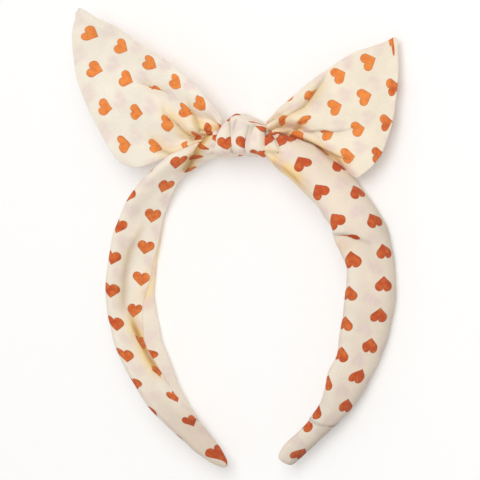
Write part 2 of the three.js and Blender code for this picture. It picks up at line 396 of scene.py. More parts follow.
def heartField(u, v):  # distance outside the nearest printed heart, in millimetres
    repeat = cotton["repeat"]
    columnIndex = (v / repeat).maths("ROUND", v / repeat)
    x = abs(v - columnIndex * repeat)
    along = u - columnIndex.maths("FLOORED_MODULO", columnIndex, 2) * (repeat / 2)
    cell = along / repeat
    y = along - cell.maths("ROUND", cell) * repeat
    lobeX, lobeY = x - cotton["lobeOut"], y - cotton["lobeUp"]
    lobe = lobeX.maths("SQRT", lobeX * lobeX + lobeY * lobeY) - cotton["lobeRadius"]
    reach = math.hypot(cotton["lobeOut"], cotton["lobeUp"] + cotton["tipDown"])
    flank = math.atan2(cotton["lobeOut"], cotton["lobeUp"] + cotton["tipDown"])
    flank += math.asin(cotton["lobeRadius"] / reach)
    side = x * math.cos(flank) - (y + cotton["tipDown"]) * math.sin(flank)
    above = lobeX * math.sin(flank) + lobeY * math.cos(flank)
    above = above.maths("MAXIMUM", above, lobeY)
    wedge = side.maths("MAXIMUM", side, above)
    return lobe.maths("MINIMUM", lobe, wedge)


def fade(field, low, high):  # 1 where the field is under low, 0 over high
    return field.add(
        "ShaderNodeMapRange",
        {"interpolation_type": "SMOOTHSTEP"},
        {"Value": field, "From Min": low, "From Max": high, "To Min": 1, "To Max": 0},
    )


def greyOf(level):
    return level.add("ShaderNodeCombineColor", None, {0: level, 1: level, 2: level})


def makeCotton():
    material, tree, shader = startMaterial("printedCotton")
    start = Wire(tree, None)
    place = start.add("ShaderNodeUVMap", {"uv_map": "print"})
    u = place.add("ShaderNodeSeparateXYZ", None, {0: place}, "X")
    v = Wire(tree, u.socket.node.outputs["Y"])
    # painted light and shade on the cloth: light through it, warm light gathered in folds, and shade in
    # creases and on turned-away parts
    litThrough, warm, shade = (
        start.add("ShaderNodeAttribute", {"attribute_name": name}, None, "Fac")
        for name in ("litThrough", "warm", "shade")
    )
    onPiece = start.add("ShaderNodeTexCoord", None, None, "Object")
    mottle, patch, fleck, slub = (
        start.add("ShaderNodeTexNoise", None, {"Vector": onPiece, **cotton[name]}, "Fac")
        for name in ("mottle", "patch", "fleck", "slub")
    )

    heart = heartField(u, v)
    printed = fade(heart, -cotton["edge"], cotton["edge"])
    inside = fade(heart, -cotton["rim"], 0)  # 1 well inside the rim
    shiftU, shiftV = cotton["ghostShift"]
    ghost = fade(heartField(u + shiftU, v + shiftV), -cotton["ghostSoft"], cotton["ghostSoft"])

    seeThrough = litThrough.maths("MINIMUM", litThrough * 3, 1)  # full from a third
    warmed = warm.maths("MINIMUM", warm * 1.4, 1)
    ambered = warm.maths("MAXIMUM", warm * 3 - 2, 0)  # none up to two thirds
    cream = start.mix(seeThrough, opaque(cotton["cream"]), opaque(cotton["creamLitThrough"]))
    cream = start.mix(warmed, cream, opaque(cotton["warm"]))
    cream = start.mix(ambered, cream, opaque(cotton["amber"]))
    cream = start.mix(ghost * (mottle * cotton["ghostShare"]), cream, opaque(cotton["ghost"]))
    inkLitThrough = litThrough + (fleck - 0.5) * cotton["inkFleck"]
    ink = start.mix(inkLitThrough, opaque(cotton["heart"]), opaque(cotton["heartLitThrough"]))
    ink = start.mix(1 - inside, ink, opaque(cotton["rimTint"]), "MULTIPLY")
    uneven = mottle * cotton["mottled"] + patch * cotton["patched"] + slub * cotton["slubbed"]
    # the cloth's random unevenness, darkened where shade is painted
    shaded = (uneven + cotton["plain"]) * (1 - shade)
    colour = start.mix(1.0, start.mix(printed, cream, ink), greyOf(shaded), "MULTIPLY")
    tree.links.new(colour.socket, shader.inputs["Base Color"])

    turn = 2 * math.pi / cotton["thread"]
    warp = u.maths("SINE", u * turn)
    weft = v.maths("SINE", v * turn)
    weave = warp * weft + slub * cotton["threadSlub"]
    raised = start.add("ShaderNodeBump", None, {"Height": weave, **cotton["weave"]})
    tree.links.new(raised.socket, shader.inputs["Normal"])
    for name, value in cotton["finish"].items():
        shader.inputs[name].default_value = value
    return material


printedCotton = makeCotton()
print("cotton made")


def finishPiece(piece, node):
    piece.data.materials.clear()
    piece.data.materials.append(printedCotton)
    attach(piece, "root")
    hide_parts(node)


# The padded hoop: sections by run along the middle line, left tip to right tip.
# width and depth are across its face and through it, arch how far its middle stands out from its edges,
# forward how far its middle lies towards its front edge, and out how far off the hoop.
leftEnd = halfLength + 2  # its cloth is drawn out to a point
bandSections = table(
    ("run", "width", "depth", "arch", "forward", "out"),
    (-leftEnd, 1.8, 1.6, 0, 0, -0.2),
    (-leftEnd + 2, 4.2, 3, 0, 0, -0.1),
    (-196, 8.4, 4.6, 0.1, 0, 0.4),
    (-191, 11, 5.4, 0.3, 0, 0.8),
    (-184, 12.8, 5.8, 0.5, 0, 1),
    (-165, 17.6, 7, 1, 0, 1.5),
    (-147, 21.4, 8, 1.4, -0.2, 0.3),
    (-130, 23.2, 8.4, 1.6, -0.4, 0.4),
    (-115, 24.2, 8.6, 1.6, -0.6, 0.3),
    (-82, 24.4, 8.6, 1.6, -0.6, -1.4),
    (-60, 20.4, 8.2, 1.4, -0.2, 0.2),
    (-40, 15.8, 6.8, 0.8, 0.8, 0.4),
    (-20, 14.4, 7.2, 0.4, 0.6, 0),
    (0, 15, 8, 0, 0, 0),
    (15, 16.4, 10.4, 0.4, 0.4, -0.6),
    (28, 21, 13.4, 1, 0.8, -2.2),
    (44, 23.6, 13, 1.4, 0.8, -2.6),
    (62, 24.6, 10.4, 1.6, 0.6, -2.2),
    (82, 25, 9, 1.6, 0.4, -0.6),
    (115, 25, 8.6, 1.6, 0.4, -0.5),
    (130, 23.4, 8.4, 1.6, 0.4, -0.6),
    (147, 21, 8, 1.4, 0.2, -0.2),
    (165, 17.2, 7, 1, 0, 1),
    (184, 13, 5.8, 0.5, 0, 0),
    (194, 11.6, 5.4, 0.2, 0, -0.6),
    (halfLength - 1.5, 9.4, 4.4, 0, 0, -0.6),
    (halfLength, 5.8, 3, 0, 0, -0.6),
)

# How far the soft front edge of the right leg gives way
edgeDents = table(
    ("run", "dent"),
    (70, 0),
    (80, -1.9),
    (87, -0.4),
    (94, 1.3),
    (102, 0.6),
    (118, 0.2),
    (128, -0.2),
    (139, 1.4),
    (150, -0.7),
    (157, 0.2),
    (170, 2.4),
    (184, 1.4),
    (193, 0),
)

tuckPath = [(88, 17), (83.4, 11.8), (80.8, 8.3), (78.9, 5.6), (77.4, 2)]
band = {
    "step": 0.9,  # between rows along the hoop
    "outerColumns": 96,
    "innerColumns": 76,
    "faceMiddle": 42,  # column in the middle of the outer face
    "capRows": 8,
    "leastCap": 1e-5,  # size of the very end
    "sectionSteps": 720,  # round a section, to measure it
    "lipMost": 0.49,  # of the way round, and how much of it counts as in front
    "frontShare": 0.6,
    "rightLeg": (60, 20),  # run at which it begins, and the soft start there
    # middle is where a column of hearts lies, gather how much cloth is drawn in across there and
    # pinch how much more of that is in the hearts than between them, slip how far the cloth has been
    # pulled along, and turn how far it is twisted
    "print": table(
        ("run", "middle", "gather", "pinch", "slip", "turn"),
        (-leftEnd, -3.6, 0.6, 0, 8.4, 0.75),
        (-197, -5.3, 0.6, 0, 6.8, 0.75),
        (-190, -7.7, 0.85, 0, 4.6, 0.7),
        (-181, -8.4, 1.2, -0.1, 0.4, 0.64),
        (-174.4, -10, 1.1, -0.05, -0.8, 0.52),
        (-168, -12.2, 1, 0.2, -1.2, 0.42),
        (-159, -14, 0.95, 0.5, -1.6, 0.25),
        (-147, -15, 0.98, 0, 0, 0.08),
        (-132, -17.5, 1.06, -0.05, 0, 0.03),
        (-98, -17.85, 0.985, -0.05, 0.4, 0),
        (-73, -17.1, 0.95, -0.03, 1.0, 0),
        (-57, -13.4, 0.95, 0, 0.8, 0),
        (-49, -11.6, 1.06, 0, 0.4, 0),
        (-44, -10, 0.98, 0, 0, 0),
        (-38, -7.4, 0.92, 0, 0.6, 0),
        (-31.5, -2.6, 0.92, 0, -2.6, 0),
        (-24, 3.2, 0.92, 0, -6.2, 0),
        (-15, 9.8, 0.92, 0, -2.6, 0),
        (0, 12, 0.7, 0, 2, 0),
        (15, 15, 0.48, 0, 7.6, 0.12),
        (22, 12.4, 0.48, 0, 4.6, 0.12),
        (28, 10.2, 0.6, 0, 2.9, 0.08),
        (38, 7.2, 0.87, 0, 1.4, 0),
        (54, 4.8, 0.92, 0, 0.6, 0),
        (71, 3.4, 0.93, 0, 0.4, 0),
        (75, 4, 0.88, 0.05, 0.4, 0),
        (80, 7.8, 1.06, -0.06, 0.4, 0),
        (83, 7.4, 1.06, -0.06, 0.4, 0),
        (89, 4.2, 0.95, 0, 0.4, 0),
        (106, 1.7, 0.928, 0.036, 1, 0),
        (118, 1.4, 0.9625, 0, 2.2, 0),
        (132, 2.1, 1.15, -0.16, 3.2, 0),
        (147, 0.8, 1.21, -0.2, 3.2, 0),
        (164, -1.2, 1.055, -0.09, 3, 0),
        (176, -0.6, 1.1, -0.1, 2, 0),
        (181, 0, 0.95, 0, 1.6, 0),
        (188, 8.2, 0.95, 0, 1.2, 0),
        (halfLength, 9, 0.95, 0, 1, 0),
    ),
    "leftStart": (-82, 6.5),  # run at which the cloth lies square on each leg, and the print's place there
    "rightStart": (62.8, 7.7),
    "lowerStart": (112, 62),  # the same below the tuck
    "lowerSkew": 0.4,  # share of the outer side's extra length that slants the print there
    "tuck": {
        "pull": 7,  # cloth drawn up into it
        "reach": 22,  # the length over which it is
        "until": (13.6, 3.4),  # how far across it is, and the soft end of that
        "crisp": 0.8,  # how sharply the cloth slips past itself on the inner side
        "soft": 20,  # and how much less sharply on the outer side
        "softFrom": (6, 8),  # across, and the length over which it changes
    },
    "lipEdge": table(  # where the cloth's other edge is sewn down, over the inner face from the front edge
        ("run", "across"),
        (-leftEnd, 8),
        (-194, 13),
        (-185, 14),
        (-176, 14),
        (-161, 15.6),
        (-143, 15.4),
        (-130, 14.8),
        (-122, 16.4),
        (-108, 19.6),
        (-99, 22.4),
        (-80, 23.8),
        (-60, 21.5),
        (-40, 15.6),
        (0, 15),
        (30, 21),
        (80, 22),
        (130, 20),
        (165, 14),
        (halfLength, 7),
    ),
    "lip": {  # that edge's relief, and the light through it
        "height": 0.7,
        "reach": 4,
        "crisp": 0.8,
        "glow": 0.5,
        "glowFrom": (-116, 10),  # run, and the soft end there
        "glowUntil": (-60, 14),
        "glowWidth": 6,
    },
    "longer": 0.12,  # how much longer the right leg's hearts are stretched
    "slack": (0.18, 1.1),  # how much less is drawn in behind the right leg, from how many repeats on
    # painted shade: the right leg is darker on its outer side, which turns away from the light, by share of
    # its width, and more so near its tip
    "awaySide": {
        "from": 0.68,
        "until": 1.76,
        "soft": 0.48,
        "shade": 0.22,
        "tipShift": 0.2,
        "tipMore": 0.6,
        "legFrom": (50, 30),  # run, and the soft start there
        "tipFrom": (140, 40),
    },
    "litThrough": {  # painted light through the cloth of each leg, and how much more on the inner side
        "left": 0.26,
        "leftInner": 0.2,
        "leftFrom": (-8, 4),  # across, and the soft start there
        "leftTip": (-190, 50),  # run at which it is over, and the length over which it goes
        "right": 0.06,
        "rightInner": 0.16,
        "rightUntil": (9, 6),  # across, and the soft end there
    },
    # strip sewn in beside the lip, blank but for part of one heart
    "facing": {
        "columns": 27,
        "start": 11.2,
        "run": -136.5,  # of that heart
        "wide": 4,
        "seen": 2.4,
        "slip": 4,
        "slope": 0.6,
    },
    "valley": {  # long soft fold inside the left leg
        "path": [(-64, -13), (-73, -11.6), (-84, -8.9), (-94, -8.4), (-111, -7.6), (-117, -9.2),
                 (-124, -9.6), (-134, -11.2), (-148, -12.8), (-160, -14.4)],
        "depth": 1.7,
        "width": 2.3,
        "fade": (0.2, 0.25),
        "hidden": 5.6,
        "hiddenFrom": -104,
        "crisp": 1.6,
        "dim": 0.14,
        "line": 0.12,
        "dimUntil": -118,
        "soft": 14,  # length over which the hidden cloth begins and the shade ends
        "dimSide": (0.6, 1.4),  # how far off the painted dark crease line is, and its width
        "lineSide": (0.2, 1.1),  # how far off the dark line is, and its width
        "glow": 0.3,
    },
    "folds": [
        # the tuck across the right leg
        {"path": tuckPath, "lip": 0.5, "drop": 0.7, "wide": 2.6, "crisp": 0.8, "fade": (0.5, 0)},
        # the edge of the leg's cloth over the gathered cloth left of the knot
        {"path": [(-15.5, 7), (-18, 2.2), (-22, -0.8), (-24.5, -3.4), (-28, -5.8), (-32.5, -9.4),
                  (-37.5, -13.3)],
         "lip": -1.0, "drop": -1.2, "wide": 3, "crisp": 0.7, "hidden": (3.8, 7.6),
         "hiddenEnd": (-13.1, 7.6), "fade": (0, 0.06), "glow": 0.95, "line": 0.26, "dim": 0.2},
        # creases right of the knot
        {"path": [(25, 4.4), (22, 5.8), (18.5, 7.4), (15, 8.9), (13, 9.8)], "lip": -0.5, "drop": -0.6,
         "wide": 2, "crisp": 0.6, "hidden": (-5.2, -11.7), "fade": (0.25, 0)},
        {"path": [(27, 5.9), (23, 3.5), (20, 1.7), (16.5, 0.2), (14, -1)], "lip": -0.8, "drop": -0.5,
         "wide": 2, "crisp": 0.6, "hidden": (-2.3, 2.2), "fade": (0.3, 0), "glow": 0.4},
        # the turned-in edge on the inner side of the right shoulder
        {"path": [(16, -1.4), (23, -0.6), (29, 0.6), (36, 1.5), (43, 1.8), (54, 2)], "lip": 0.3,
         "drop": 1.3, "wide": 3.4, "fade": (0.2, 0.4), "glow": 0.85, "line": 0.08},
        # light through the single layer along the lower left leg
        {"path": [(-108, -9.4), (-117, -11.2), (-125, -12.2), (-132, -12.8), (-139, -13.2), (-147, -13.8),
                  (-154, -14.6)],
         "lip": 0, "drop": 0, "wide": 3.6, "fade": (0.35, 0.3), "glow": 1, "line": 0, "dim": 0.16},
        # pinches near the tips
        {"path": [(170, 20), (172, 12), (173.6, 6), (175, 1), (176, -6)], "lip": 0.2, "drop": 0.6,
         "wide": 1.4, "hidden": (8.2, 0), "fade": (0, 0)},
        {"path": [(-174, -6), (-175.4, -11), (-175, -16)], "lip": 0.4, "drop": 0.9, "wide": 1.6,
         "fade": (0.4, 0)},
    ],
    "warmSpots": [  # where light comes through a single layer
        {"run": 83.5, "across": 3, "wide": 4, "glow": 0.45},
        {"run": -96, "across": -24, "wide": 5, "glow": 0.4},
        {"run": -106, "across": -22.5, "wide": 6, "glow": 0.4},
    ],
    "shaded": table(  # painted shade along the band, darkest at the tips
        ("run", "shade"),
        (-leftEnd, 0.2),
        (-175, 0.16),
        (-150, 0.05),
        (-110, 0),
        (40, 0),
        (85, 0.06),
        (150, 0.04),
        (182, 0.1),
        (halfLength, 0.1),
    ),
    "waves": [
        {"length": 23, "angle": 0.35, "size": 0.16, "sway": 3, "start": 0.4},
        {"length": 13, "angle": -0.5, "size": 0.09, "sway": 2, "start": 2.1},
        {"length": 8.5, "angle": 0.9, "size": 0.05, "sway": 1.4, "start": 1.2},
    ],
    "gathers": {"length": 4.6, "size": 0.42, "reach": 20, "start": 13, "fall": 1.5, "slant": 0.25},
}


def bandLoop(run, angle):  # the smooth section at each run, as reach out of the hoop and height
    value = {name: smooth(bandSections, "run", name, run)[:, None]
             for name in ("width", "depth", "arch", "forward", "out")}
    outX = hoopAt(run)[2][:, None]
    turn = np.arctan2(np.sin(hoop["lean"]) * outX, np.cos(hoop["lean"]))
    share = squared(np.cos(angle))
    across = value["forward"] + value["width"] / 2 * share
    across = across - smooth(edgeDents, "run", "dent", run)[:, None] * ease(share)
    through = value["depth"] / 2 * squared(np.sin(angle)) + value["arch"] * (0.5 - share * share)
    reach = value["out"] + through * np.cos(turn) - across * np.sin(turn)
    height = through * np.sin(turn) + across * np.cos(turn)
    return np.stack([reach, height], -1)


def bandRows():
    rows = np.linspace(-leftEnd + 1, halfLength - 1, round((leftEnd + halfLength - 2) / band["step"]))
    capRows = np.sin(np.linspace(0, math.pi / 2, band["capRows"])) - 1
    return np.concatenate([-leftEnd - capRows[::-1], rows[1:-1], halfLength + capRows])


def clothLength(places, run, start, place):  # true length along each column, from place at the row at start
    first = int(np.argmin(np.abs(run - start)))
    length = summed(np.linalg.norm(np.diff(places, axis=0), axis=-1).T).T
    return length - length[first] + place


def pinched(v, pinch):  # draws the cloth in more through the columns of hearts, or less, than between them
    repeat = cotton["repeat"]
    return v + pinch * repeat / (2 * math.pi) * np.sin(2 * math.pi * v / repeat)


def layBand(run):  # the smooth cloth: its loops, and where their corners lie along and across it
    past = np.maximum(np.maximum(run - halfLength, -run - leftEnd) + 1, 0)
    cap = np.sqrt(np.clip(1 - past ** 2, 0, 1))[:, None]
    size = np.maximum(cap, band["leastCap"])
    fine = bandLoop(run, np.linspace(0, 2 * math.pi, band["sectionSteps"] + 1)[None, :])
    middle = fine[:, :-1].mean(axis=1, keepdims=True)
    fine = middle + (fine - middle) * size[..., None]
    arc = summed(np.linalg.norm(np.diff(fine, axis=1), axis=-1))
    length = arc[:, -1:]
    lipEdge = smooth(band["lipEdge"], "run", "across", run)[:, None] * size
    lipEdge = np.minimum(lipEdge, band["lipMost"] * length)

    outerEnd = band["outerColumns"]
    outerAt = (length - lipEdge) * np.linspace(0, 1, outerEnd + 1)
    innerAt = length - lipEdge * np.linspace(1, 0, band["innerColumns"] + 1)
    at = np.concatenate([outerAt[:, :-1], innerAt], axis=1)
    loop = np.stack([
        np.stack([np.interp(at[i], arc[i], fine[i, :, k]) for i in range(len(run))]) for k in (0, 1)
    ], -1)
    fromFront = length - at
    onOuter = np.arange(at.shape[1]) < outerEnd
    return {
        "loop": loop,
        "cap": cap,
        "runs": run[:, None] + 0 * at,
        "at": at,
        "across": np.where(onOuter, at, -fromFront),  # over the outer face, and below 0 over the inner face
        "fromLip": fromFront - lipEdge,
        "inFront": fromFront < band["frontShare"] * length,
    }


def foldBand(cloth):  # its folds, valley, sewn edge, wrinkles and gathers, as foldCloth gives them
    runs, across = cloth["runs"], cloth["across"]
    relief, hiddenX, hiddenY, glow, shade = foldCloth(runs, across, band["folds"])

    valley = band["valley"]
    width = valley["width"]
    side, share = alongPath(runs, across, valley["path"])
    begin, finish = valley["fade"]
    live = ease(share / begin) * ease((1 - share) / finish)
    relief -= live * valley["depth"] * bump(side, width)
    under = ease((valley["hiddenFrom"] - runs) / valley["soft"]) * ease(side / valley["crisp"] + 0.5)
    hiddenY -= live * valley["hidden"] * under
    (dimOff, dimWidth), (lineOff, lineWidth) = valley["dimSide"], valley["lineSide"]
    dim = valley["dim"] * bump(side + dimOff, dimWidth * width)
    dim += valley["line"] * bump(side + lineOff, lineWidth)
    shade = np.maximum(shade, live * ease((runs - valley["dimUntil"]) / valley["soft"]) * dim)
    glow = np.maximum(glow, valley["glow"] * live * bump(side, width))

    lip = band["lip"]
    fromLip = cloth["fromLip"]
    onLip = ease(fromLip / lip["crisp"] + 0.5) * cloth["inFront"]
    relief += lip["height"] * np.exp(-np.maximum(fromLip, 0) / lip["reach"]) * onLip
    (first, firstSoft), (last, lastSoft) = lip["glowFrom"], lip["glowUntil"]
    lit = lip["glow"] * ease((runs - first) / firstSoft) * ease((last - runs) / lastSoft)
    glow = np.maximum(glow, lit * onLip * bump(fromLip, lip["glowWidth"]))

    relief += ripples(runs, across, band["waves"])
    gathers = band["gathers"]
    far = np.abs(runs)
    near = np.clip(1 - (far - gathers["start"]) / gathers["reach"], 0, 1) ** gathers["fall"]
    phase = (across + gathers["slant"] * far) / gathers["length"]
    relief += near * gathers["size"] * np.sin(2 * math.pi * phase)
    for spot in band["warmSpots"]:
        away = np.hypot(runs - spot["run"], across - spot["across"])
        glow = np.maximum(glow, spot["glow"] * bump(away, spot["wide"]))
    return relief * cloth["cap"], hiddenX, hiddenY, glow, shade


def printBand(piece, run, cloth, plain, hiddenX, hiddenY):  # lays the hearts on it
    runs, at, across = cloth["runs"], cloth["at"], cloth["across"]
    columns = at.shape[1] - 1
    outerEnd = band["outerColumns"]
    starts = (band[name] for name in ("leftStart", "rightStart", "lowerStart"))
    left, right, lower = (clothLength(plain, run, *start) for start in starts)
    faceMiddle = lower[:, band["faceMiddle"]][:, None]
    lower = band["lowerSkew"] * lower + (1 - band["lowerSkew"]) * faceMiddle

    tuck = band["tuck"]
    (until, untilSoft), (softFrom, softOver) = tuck["until"], tuck["softFrom"]
    side, _ = alongPath(runs, across, tuckPath)
    below = ease(side / (tuck["crisp"] + tuck["soft"] * ease((across - softFrom) / softOver)) + 0.5)
    drawn = tuck["pull"] * below * np.exp(-np.maximum(side, 0) / tuck["reach"])
    drawn *= ease((until - across) / untilSoft)

    names = ("middle", "gather", "pinch", "slip", "turn")
    middle, gather, pinch, slip, turn = (smooth(band["print"], "run", name, run)[:, None] for name in names)
    u = np.where(runs < 0, left, right + (lower - right) * below + drawn) + hiddenX + slip
    u += turn * (np.where(np.arange(columns + 1) <= outerEnd, at, across) - middle)
    repeat = cotton["repeat"]
    hiddenY = hiddenY - np.where(runs < 0, repeat, 0)  # the left leg shows the next column
    inner = np.stack([u, pinched((across - middle) * gather + hiddenY, pinch)], -1)

    over = pinched((at - middle) * gather + hiddenY, pinch)
    slack, slackFrom = band["slack"]
    over -= np.where(runs > band["rightLeg"][0], slack * np.maximum(over - slackFrom * repeat, 0), 0)
    turns = 2 * math.pi / repeat
    longer = band["longer"] * onRightLeg(runs) * np.sin(u * turns) * np.cos(over * turns / 2)
    outer = np.stack([u - longer / turns, over], -1)

    facing = band["facing"]
    seen = facing["seen"] * bump(runs - facing["run"], facing["wide"])
    blank = facing["start"] + seen - facing["slope"] * np.maximum(cloth["fromLip"], 0)
    strip = np.stack([u + facing["slip"], blank], -1)
    printMap(piece, columns, [(outerEnd - facing["columns"], outer), (outerEnd, strip), (columns, inner)])


def onRightLeg(runs):
    first, soft = band["rightLeg"]
    return ease((runs - first) / soft)


# the band's painted light and shade: light through the cloth, warm light in folds, and shade
def paintBand(piece, run, cloth, glow, shade):
    runs, at = cloth["runs"], cloth["at"]
    litThrough = band["litThrough"]
    (first, firstSoft), (last, lastSoft) = litThrough["leftFrom"], litThrough["leftTip"]
    litThroughLeft = litThrough["left"] + litThrough["leftInner"] * ease((first - cloth["across"]) / firstSoft)
    litThroughLeft *= ease((runs - last) / lastSoft)
    until, soft = litThrough["rightUntil"]
    litThroughRight = litThrough["right"] + litThrough["rightInner"] * ease((until - at) / soft) * onRightLeg(runs)
    paint(piece, "litThrough", np.where(runs < 0, litThroughLeft, litThroughRight))
    paint(piece, "warm", glow)

    # painted shade on the right leg's outer side, deeper towards its tip
    away = band["awaySide"]
    (leg, legSoft), (tip, tipSoft) = away["legFrom"], away["tipFrom"]
    tipward = ease((runs - tip) / tipSoft)
    part = at / smooth(bandSections, "run", "width", run)[:, None] + away["tipShift"] * tipward
    turned = ease((part - away["from"]) / away["soft"]) * ease((away["until"] - part) / away["soft"])
    turned *= ease((runs - leg) / legSoft)
    shade = shade + away["shade"] * (1 + away["tipMore"] * tipward) * turned
    paint(piece, "shade", shade + smooth(band["shaded"], "run", "shade", runs))


def makeBand():
    run = bandRows()
    cloth = layBand(run)
    relief, hiddenX, hiddenY, glow, shade = foldBand(cloth)
    loop = cloth["loop"]
    plain = roundHoop(cloth["runs"], loop[..., 0], loop[..., 1])
    loop = loop + slopeRound(loop) * relief[..., None]
    piece = clothGrid("bandCloth", roundHoop(cloth["runs"], loop[..., 0], loop[..., 1]))
    printBand(piece, run, cloth, plain, hiddenX, hiddenY)
    paintBand(piece, run, cloth, glow, shade)
    closeUp(piece)
    finishPiece(piece, "band")


makeBand()
print("band made")


# The two ends of the tie. along runs out from the knot, and the edges are measured across that way.
# A fold is a ridge or a valley that runs out of the knot at a share of the way across. hearts are marked
# on the photograph: pixels right and down, place in the print in repeats, and how clearly each shows.
# lay says how the print lies before it is fitted to them, how stiffly its slope and its bend are kept,
# and the share of the cloth hidden in the pleats that the fit counts.
ears = [
    {
        "name": "earLeft",
        "node": "ear_left",
        "root": (-14.8, 68),
        "heading": math.radians(140),
        "side": 1,
        "lift": 12.6,
        "cup": 3,
        "outline": table(
            ("along", "crownEdge", "outerEdge"),
            (-4, -3.5, 3.5),
            (1.6, -7.4, 7),
            (6, -9.4, 12.5),
            (11, -10.6, 21.4),
            (17, -12, 31.4),
            (23, -13, 37.8),
            (29.6, -13.2, 39.4),
            (38.4, -13, 36.6),
            (49, -11.9, 32.2),
            (64.7, -10.6, 23.8),
            (78, -7.6, 12.1),
            (84.5, -6.6, 4),
            (87.4, -6, -2.4),
        ),
        "folds": [
            {"at": 0.1, "height": 2, "spread": 0.09, "reach": 50},
            {"at": 0.3, "height": -2.5, "spread": 0.1, "reach": 62},
            {"at": 0.5, "height": 2.5, "spread": 0.1, "reach": 68},
            {"at": 0.72, "height": -2.8, "spread": 0.1, "reach": 40},
            {"at": 0.92, "height": 2.2, "spread": 0.1, "reach": 34},
        ],
        "pleats": [
            {"path": [(34, 3.4), (25.4, 8.6), (14.8, 8.9), (6, 9.6), (1, 4)], "lip": -1.4, "drop": -0.9,
             "wide": 3, "hidden": (0, -3.4), "reach": 5, "fade": (0.5, 0), "glow": 0.68},
            {"path": [(1, 0.5), (6.2, 3.4), (12, 1.8), (17, -1.5), (22, -6.5)], "lip": 1.0, "drop": 1.5,
             "wide": 2.6, "hidden": (0, 2), "fade": (0, 0.5), "glow": 0.68},
            {"path": [(27, -1), (32, 0.4), (39, 3), (45, 5.4)], "lip": 0.4, "drop": 0.7, "wide": 2.4,
             "hidden": (-4.3, 4), "reach": 6, "fade": (0.3, 0.3), "glow": 0.2},
            {"path": [(4, 14), (9, 20.5), (16, 23.6), (24, 21.6), (30, 19)], "lip": 0.6, "drop": 1.2,
             "wide": 3, "hidden": (0, 0.4), "fade": (0, 0.5), "glow": 0.5},
        ],
        "hearts": table(
            ("photoRight", "photoDown", "along", "across", "clear"),
            (91, 33, 4, 0, 1),
            (121, 47, 3, 0, 1),
            (149, 64, 2, 0, 1),
            (176, 82, 1, 0, 1),
            (199, 104, 0, 0, 1),
            (92, 70, 3.5, 1, 1),
            (124, 77, 2.5, 1, 1),
            (154, 87, 1.5, 1, 0.4),
            (183, 106, 0.5, 1, 0.7),
            (107, 107, 3, 2, 1),
            (137, 114, 2, 2, 1),
            (168, 124, 1, 2, 0.8),
            (122, 143, 2.5, 3, 1),
            (155, 147, 1.5, 3, 0.7),
        ),
        "lay": {"along": (1, 0), "across": (0, 1), "slope": 0, "bend": 20, "hidden": 1},
        "doubled": 0,  # how much its far edge is turned under
        "warmLight": 0,
        "flat": (0.055, 0.092),
    },
    {
        "name": "earRight",
        "node": "ear_right",
        "root": (15, 66),
        # its edge goes down behind the hoop
        "tuckedEdge": {"start": 8, "until": 32, "soft": 10, "drop": 6.5, "width": 15},
        "heading": math.radians(25),
        "side": -1,
        "lift": -5,
        "cup": 3,
        "outline": table(
            ("along", "crownEdge", "outerEdge"),
            (-6, -4.4, 1),
            (1.9, -8, 0.6),
            (6, -9, 4),
            (9, -9.7, 7.2),
            (12, -10, 9.8),
            (16, -10.6, 15.8),
            (22, -11.8, 26.6),
            (26, -12.5, 33.6),
            (30, -13.2, 36.8),
            (36, -14, 36.2),
            (43.2, -14.6, 33.4),
            (53.4, -15, 24.6),
            (62.6, -13.7, 11.7),
            (69.8, -12.8, -1.2),
            (73.4, -12.8, -9),
        ),
        "folds": [
            {"at": 0.2, "height": -2.2, "spread": 0.09, "reach": 60},
            {"at": 0.4, "height": 2.1, "spread": 0.1, "reach": 46},
            {"at": 0.6, "height": -2.1, "spread": 0.1, "reach": 42},
            {"at": 0.82, "height": 2.6, "spread": 0.1, "reach": 48},
        ],
        "pleats": [
            {"path": [(40, -14.6), (33, -11), (29.5, -9.4), (25, -7.4), (18.9, -5.5), (5.2, -4.5), (1, -3)],
             "lip": 1.0, "drop": 0.9, "wide": 3, "hidden": (-0.4, -3.6), "fade": (0.3, 0), "glow": 0.45},
            {"path": [(23, 2.4), (15.3, 0.3), (8.3, 1.6), (2, 0)], "lip": 0.7, "drop": 1.3, "wide": 2.4,
             "hidden": (0, -4.5), "fade": (0.4, 0), "glow": 0.68},
            {"path": [(34, 31), (26.2, 23.6), (19.7, 16.6), (14.5, 10.6), (4, 3)], "lip": 0.6, "drop": 1.6,
             "wide": 3.2, "fade": (0.3, 0), "glow": 0.72},
            {"path": [(15, 5), (23.3, 8.8), (29.5, 12.6), (38, 15.4), (46, 17.5)], "lip": -0.6,
             "drop": -0.5, "wide": 2.6, "hidden": (0, 1.8), "fade": (0, 0.6), "glow": 0.15},
        ],
        "hearts": table(
            ("photoRight", "photoDown", "along", "across", "clear"),
            (339, 75, 0, 0, 1),
            (368, 61, -1, 0, 1),
            (392, 47, -2, 0, 0.3),
            (333, 109, 0.5, 1, 1),
            (363, 97, -0.5, 1, 1),
            (392, 86, -1.5, 1, 0.7),
            (332, 131, 1, 2, 0.4),
            (360, 130, 0, 2, 1),
            (386, 123, -1, 2, 0.8),
            (347, 155, 0.5, 3, 0.5),
            (376, 156, -0.5, 3, 0.8),
        ),
        "lay": {"along": (-0.97, 0), "across": (-0.1, 1.15), "slope": 3, "bend": 120, "hidden": 0},
        "doubled": 0.9,
        # painted warm light over the whole ear
        "warmLight": 0.1,
        "flat": (0.052, 0.078),
    },
]

